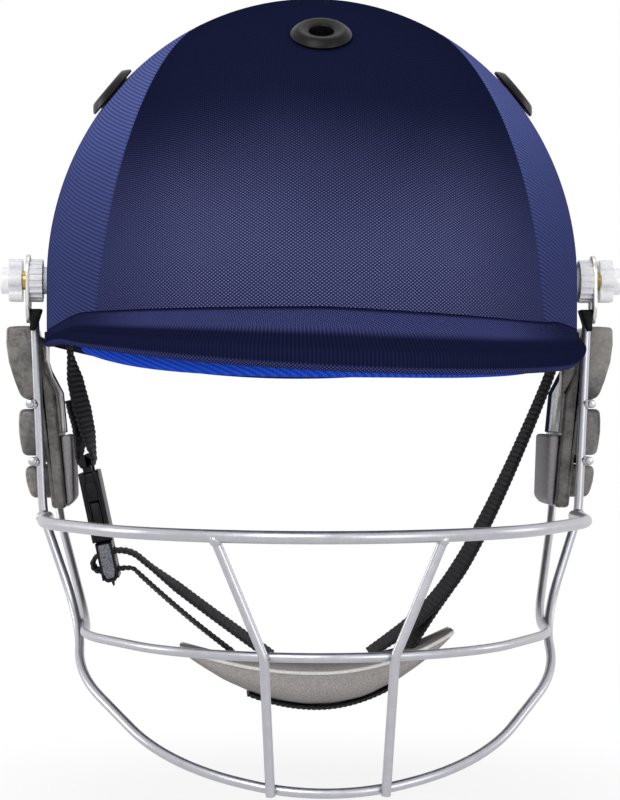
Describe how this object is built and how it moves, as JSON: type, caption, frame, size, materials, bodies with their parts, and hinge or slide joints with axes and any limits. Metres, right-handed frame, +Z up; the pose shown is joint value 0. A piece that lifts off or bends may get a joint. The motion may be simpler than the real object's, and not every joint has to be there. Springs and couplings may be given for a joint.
{
  "type": "cricket helmet",
  "caption": "Cloth-covered sports helmet with a peak, a tilting welded wire face grille on clamped side pivots, ear guards and a padded chin harness with a side-release buckle.",
  "frame": {"origin": "the middle of the side pivot axis, inside the head space", "axes": "the helmet faces -Y, +X is the wearer's left side, seen at the right of the picture, and +Z is up as worn"},
  "size_m": [0.2396, 0.2944, 0.2883],
  "materials": {
    "shell_plastic": "moulded plastic under the cloth",
    "navy_cloth": "dark navy woven cloth, glued on",
    "blue_cloth": "mid-blue ribbed cloth, glued on",
    "royal_cloth": "royal-blue cloth",
    "binding_tape": "woven edge tape",
    "liner_foam": "expanded foam",
    "pad_cloth": "cloth over soft foam",
    "dark_plastic": "glossy dark plastic",
    "white_plastic": "glossy white plastic",
    "insert_brass": "turned brass",
    "bolt_steel": "plated steel",
    "bracket_steel": "bright pressed steel",
    "buffer_rubber": "black rubber",
    "wire_steel": "satin steel wire",
    "guard_plastic": "moulded grey plastic",
    "ear_foam": "light grey padding",
    "lining_cloth": "navy lining cloth",
    "webbing": "black ribbed webbing",
    "buckle_plastic": "glossy black plastic",
    "prong_plastic": "grey textured plastic",
    "cup_cloth": "warm light grey padded cloth"
  },
  "bodies": {
    "helmet": {"shell": "shell_plastic", "cover_centre": "navy_cloth", "cover_left": "blue_cloth", "cover_right": "blue_cloth", "peak_cover": "navy_cloth", "rim_binding": "binding_tape", "impact_liner": "liner_foam", "brow_band": "royal_cloth", "brow_pad": "pad_cloth", "rear_pad": "pad_cloth", "side_pad_left": "pad_cloth", "side_pad_right": "pad_cloth", "crown_pad": "pad_cloth", "vent_eyelet_crown": "dark_plastic", "vent_eyelet_rear": "dark_plastic", "vent_eyelet_left": "dark_plastic", "vent_eyelet_right": "dark_plastic", "pivot_bolt_left": "bolt_steel", "pivot_bolt_right": "bolt_steel", "pivot_washer_left": "bolt_steel", "pivot_washer_right": "bolt_steel", "pivot_collar_left": "white_plastic", "pivot_collar_right": "white_plastic", "strap_rivet_left": "bolt_steel", "strap_rivet_right": "bolt_steel"},
    "spacers": {"ribbed_spacer_left": "white_plastic", "ribbed_spacer_right": "white_plastic"},
    "grille": {"bracket_left": "bracket_steel", "bracket_right": "bracket_steel", "bracket_buffer_left": "buffer_rubber", "bracket_buffer_right": "buffer_rubber", "perimeter_bar": "wire_steel", "mid_bar": "wire_steel", "upper_bar": "wire_steel", "side_bars_left": "wire_steel", "side_bars_right": "wire_steel", "strut_left": "wire_steel", "strut_right": "wire_steel", "ear_guard_left": "guard_plastic", "ear_guard_right": "guard_plastic", "ear_pad_left": "ear_foam", "ear_pad_right": "ear_foam", "ear_lining_left": "lining_cloth", "ear_lining_right": "lining_cloth"},
    "knob_left": {"knob_left": "white_plastic", "knob_insert_left": "insert_brass"},
    "knob_right": {"knob_right": "white_plastic", "knob_insert_right": "insert_brass"},
    "harness": {"strap_left": "webbing", "buckle_socket": "buckle_plastic", "buckle_tongue": "buckle_plastic", "lower_strap_left": "webbing", "strap_right": "webbing", "chin_cup": "cup_cloth", "chin_cup_strap": "webbing"},
    "prong_front": {"buckle_prong_front": "prong_plastic"},
    "prong_back": {"buckle_prong_back": "prong_plastic"}
  },
  "joints": [
    {"name": "grille_tilt", "type": "hinge", "parent": "helmet", "child": "spacers", "pos_m": [0, 0, 0], "axis": [1, 0, 0], "range_deg": [-6, 8]},
    {"name": "grille_slide", "type": "slide", "parent": "spacers", "child": "grille", "axis": [0, 0, 1], "range_m": [-0.002, 0.002]},
    {"name": "knob_left_spin", "type": "hinge", "parent": "helmet", "child": "knob_left", "pos_m": [-0.114, 0, 0], "axis": [-1, 0, 0], "continuous": true},
    {"name": "knob_right_spin", "type": "hinge", "parent": "helmet", "child": "knob_right", "pos_m": [0.114, 0, 0], "axis": [1, 0, 0], "continuous": true},
    {"name": "harness_swing", "type": "hinge", "parent": "helmet", "child": "harness", "pos_m": [0, 0, -0.0172], "axis": [1, 0, 0], "range_deg": [-25, 25]},
    {"name": "prong_front_press", "type": "slide", "parent": "harness", "child": "prong_front", "axis": [0, 1, 0], "range_m": [0, 0.0028], "stiffness_N_per_m": 600},
    {"name": "prong_back_press", "type": "slide", "parent": "harness", "child": "prong_back", "axis": [0, -1, 0], "range_m": [0, 0.0028], "stiffness_N_per_m": 600}
  ],
  "couplings": [
    {"joint": "prong_back_press", "follows": "prong_front_press", "ratio": 1}
  ]
}
